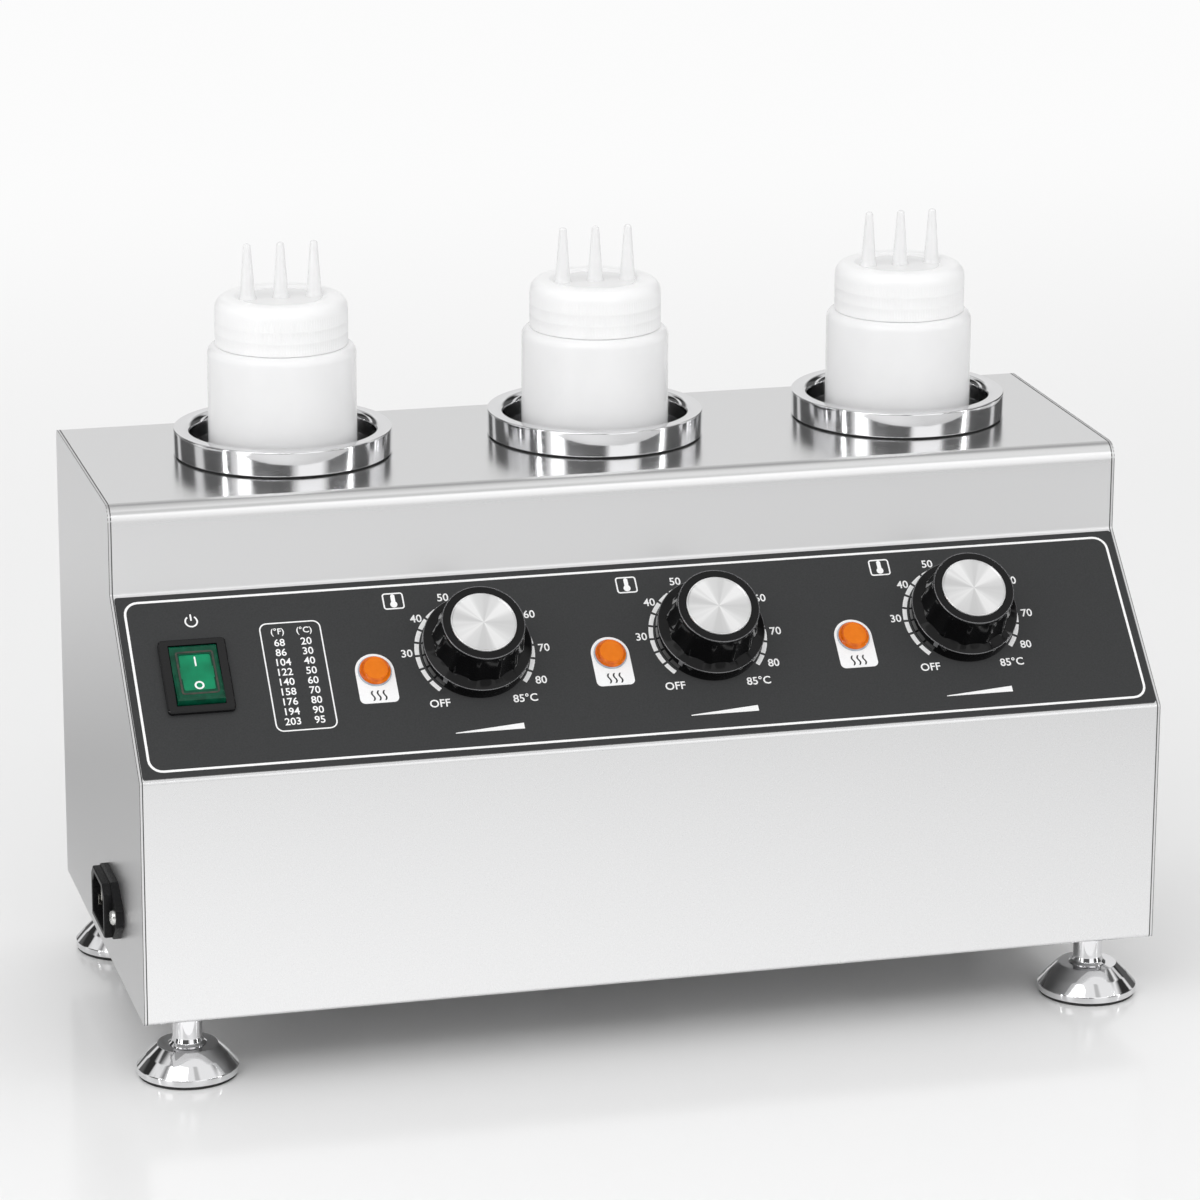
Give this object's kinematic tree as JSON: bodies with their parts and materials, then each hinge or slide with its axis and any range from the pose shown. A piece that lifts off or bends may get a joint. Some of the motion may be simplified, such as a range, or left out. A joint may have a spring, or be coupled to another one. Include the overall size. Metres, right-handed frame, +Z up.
{
  "type": "sauce warmer",
  "caption": "Countertop warmer with a sloped control panel, heated wells for squeeze bottles with nozzle caps, fluted dials, pilot lamps, a rocker switch and levelling feet.",
  "frame": {"origin": "middle of the whole footprint, on the surface the feet stand on", "axes": "+Z up, the control panel faces -Y, +X to the right of somebody who faces the panel"},
  "size_m": [0.396, 0.178, 0.2883],
  "materials": {
    "brushed_stainless": "fine brushed",
    "polished_stainless": "mirror polished",
    "drawn_stainless": "drawn, satin",
    "zinc_steel": "bright zinc",
    "chrome": "bright chrome",
    "spun_aluminium": "spun, clear",
    "nickel_brass": "nickel plated",
    "copper_tube": "plain copper",
    "mica_band": "matt",
    "black_overlay": "satin",
    "black_rubber": "matt",
    "knob_black": "gloss",
    "black_plastic": "satin",
    "thermostat_case": "satin",
    "green_rocker": "translucent gloss",
    "amber_lens": "translucent gloss",
    "bottle_plastic": "translucent satin",
    "cap_plastic": "satin",
    "cap_liner": "soft foam",
    "white_block": "satin",
    "wire_sleeve": "satin"
  },
  "bodies": {
    "body": {"body_wrap": "brushed_stainless", "side_panel_left": "brushed_stainless", "side_panel_right": "brushed_stainless", "base_plate": "zinc_steel", "panel_screws": "zinc_steel", "control_overlay": "black_overlay", "collar_seals": "black_rubber", "collar_1": "polished_stainless", "collar_2": "polished_stainless", "collar_3": "polished_stainless", "well_1": "drawn_stainless", "well_2": "drawn_stainless", "well_3": "drawn_stainless", "band_heater_1": "mica_band", "band_heater_2": "mica_band", "band_heater_3": "mica_band", "thermostat_1": "thermostat_case", "thermostat_2": "thermostat_case", "thermostat_3": "thermostat_case", "capillaries": "copper_tube", "lamp_lens_1": "amber_lens", "lamp_lens_2": "amber_lens", "lamp_lens_3": "amber_lens", "lamp_bodies": "black_plastic", "switch_housing": "black_plastic", "inlet_housing": "black_plastic", "inlet_pins": "nickel_brass", "terminal_block": "white_block", "wiring": "wire_sleeve"},
    "knob_1_turning": {"knob_1": "knob_black", "knob_disc_1": "spun_aluminium", "thermostat_shaft_1": "zinc_steel"},
    "bottle_1_body": {"bottle_1": "bottle_plastic"},
    "cap_ring_1_body": {"cap_ring_1": "cap_liner"},
    "nozzle_cap_1_body": {"nozzle_cap_1": "cap_plastic"},
    "knob_2_turning": {"knob_2": "knob_black", "knob_disc_2": "spun_aluminium", "thermostat_shaft_2": "zinc_steel"},
    "bottle_2_body": {"bottle_2": "bottle_plastic"},
    "cap_ring_2_body": {"cap_ring_2": "cap_liner"},
    "nozzle_cap_2_body": {"nozzle_cap_2": "cap_plastic"},
    "knob_3_turning": {"knob_3": "knob_black", "knob_disc_3": "spun_aluminium", "thermostat_shaft_3": "zinc_steel"},
    "bottle_3_body": {"bottle_3": "bottle_plastic"},
    "cap_ring_3_body": {"cap_ring_3": "cap_liner"},
    "nozzle_cap_3_body": {"nozzle_cap_3": "cap_plastic"},
    "rocker": {"switch_rocker": "green_rocker"},
    "foot_1": {"foot_pad_1": "black_rubber", "foot_cone_1": "chrome", "foot_stud_1": "chrome"},
    "foot_2": {"foot_pad_2": "black_rubber", "foot_cone_2": "chrome", "foot_stud_2": "chrome"},
    "foot_3": {"foot_pad_3": "black_rubber", "foot_cone_3": "chrome", "foot_stud_3": "chrome"},
    "foot_4": {"foot_pad_4": "black_rubber", "foot_cone_4": "chrome", "foot_stud_4": "chrome"}
  },
  "joints": [
    {"name": "knob_turn_1", "type": "hinge", "parent": "body", "child": "knob_1_turning", "pos_m": [-0.0605, -0.05665, 0.15025], "axis": [0, 0.6865, -0.7271], "range_deg": [0, 270]},
    {"name": "knob_turn_2", "type": "hinge", "parent": "body", "child": "knob_2_turning", "pos_m": [0.029, -0.05665, 0.15025], "axis": [0, 0.6865, -0.7271], "range_deg": [0, 270]},
    {"name": "knob_turn_3", "type": "hinge", "parent": "body", "child": "knob_3_turning", "pos_m": [0.1285, -0.05665, 0.15025], "axis": [0, 0.6865, -0.7271], "range_deg": [0, 270]},
    {"name": "rocker_tilt", "type": "hinge", "parent": "body", "child": "rocker", "pos_m": [-0.1651, -0.05846, 0.14854], "axis": [1, 0, 0], "range_deg": [0, 10]},
    {"name": "bottle_lift_1", "type": "slide", "parent": "body", "child": "bottle_1_body", "axis": [0, 0, 1], "range_m": [0, 0.15]},
    {"name": "cap_lift_1", "type": "slide", "parent": "bottle_1_body", "child": "cap_ring_1_body", "axis": [0, 0, 1], "range_m": [0, 0.008]},
    {"name": "cap_turn_1", "type": "hinge", "parent": "cap_ring_1_body", "child": "nozzle_cap_1_body", "pos_m": [-0.1135, 0.0345, 0.2492], "axis": [0, 0, 1], "range_deg": [0, 720]},
    {"name": "bottle_lift_2", "type": "slide", "parent": "body", "child": "bottle_2_body", "axis": [0, 0, 1], "range_m": [0, 0.15]},
    {"name": "cap_lift_2", "type": "slide", "parent": "bottle_2_body", "child": "cap_ring_2_body", "axis": [0, 0, 1], "range_m": [0, 0.008]},
    {"name": "cap_turn_2", "type": "hinge", "parent": "cap_ring_2_body", "child": "nozzle_cap_2_body", "pos_m": [0.009, 0.0345, 0.2492], "axis": [0, 0, 1], "range_deg": [0, 720]},
    {"name": "bottle_lift_3", "type": "slide", "parent": "body", "child": "bottle_3_body", "axis": [0, 0, 1], "range_m": [0, 0.15]},
    {"name": "cap_lift_3", "type": "slide", "parent": "bottle_3_body", "child": "cap_ring_3_body", "axis": [0, 0, 1], "range_m": [0, 0.008]},
    {"name": "cap_turn_3", "type": "hinge", "parent": "cap_ring_3_body", "child": "nozzle_cap_3_body", "pos_m": [0.1315, 0.0345, 0.2492], "axis": [0, 0, 1], "range_deg": [0, 720]},
    {"name": "foot_screw_1", "type": "slide", "parent": "body", "child": "foot_1", "axis": [0, 0, -1], "range_m": [0, 0.008]},
    {"name": "foot_screw_2", "type": "slide", "parent": "body", "child": "foot_2", "axis": [0, 0, -1], "range_m": [0, 0.008]},
    {"name": "foot_screw_3", "type": "slide", "parent": "body", "child": "foot_3", "axis": [0, 0, -1], "range_m": [0, 0.008]},
    {"name": "foot_screw_4", "type": "slide", "parent": "body", "child": "foot_4", "axis": [0, 0, -1], "range_m": [0, 0.008]}
  ],
  "couplings": [
    {"joint": "cap_lift_1", "follows": "cap_turn_1", "m_per_rad": 0.0006366},
    {"joint": "cap_lift_2", "follows": "cap_turn_2", "m_per_rad": 0.0006366},
    {"joint": "cap_lift_3", "follows": "cap_turn_3", "m_per_rad": 0.0006366}
  ]
}
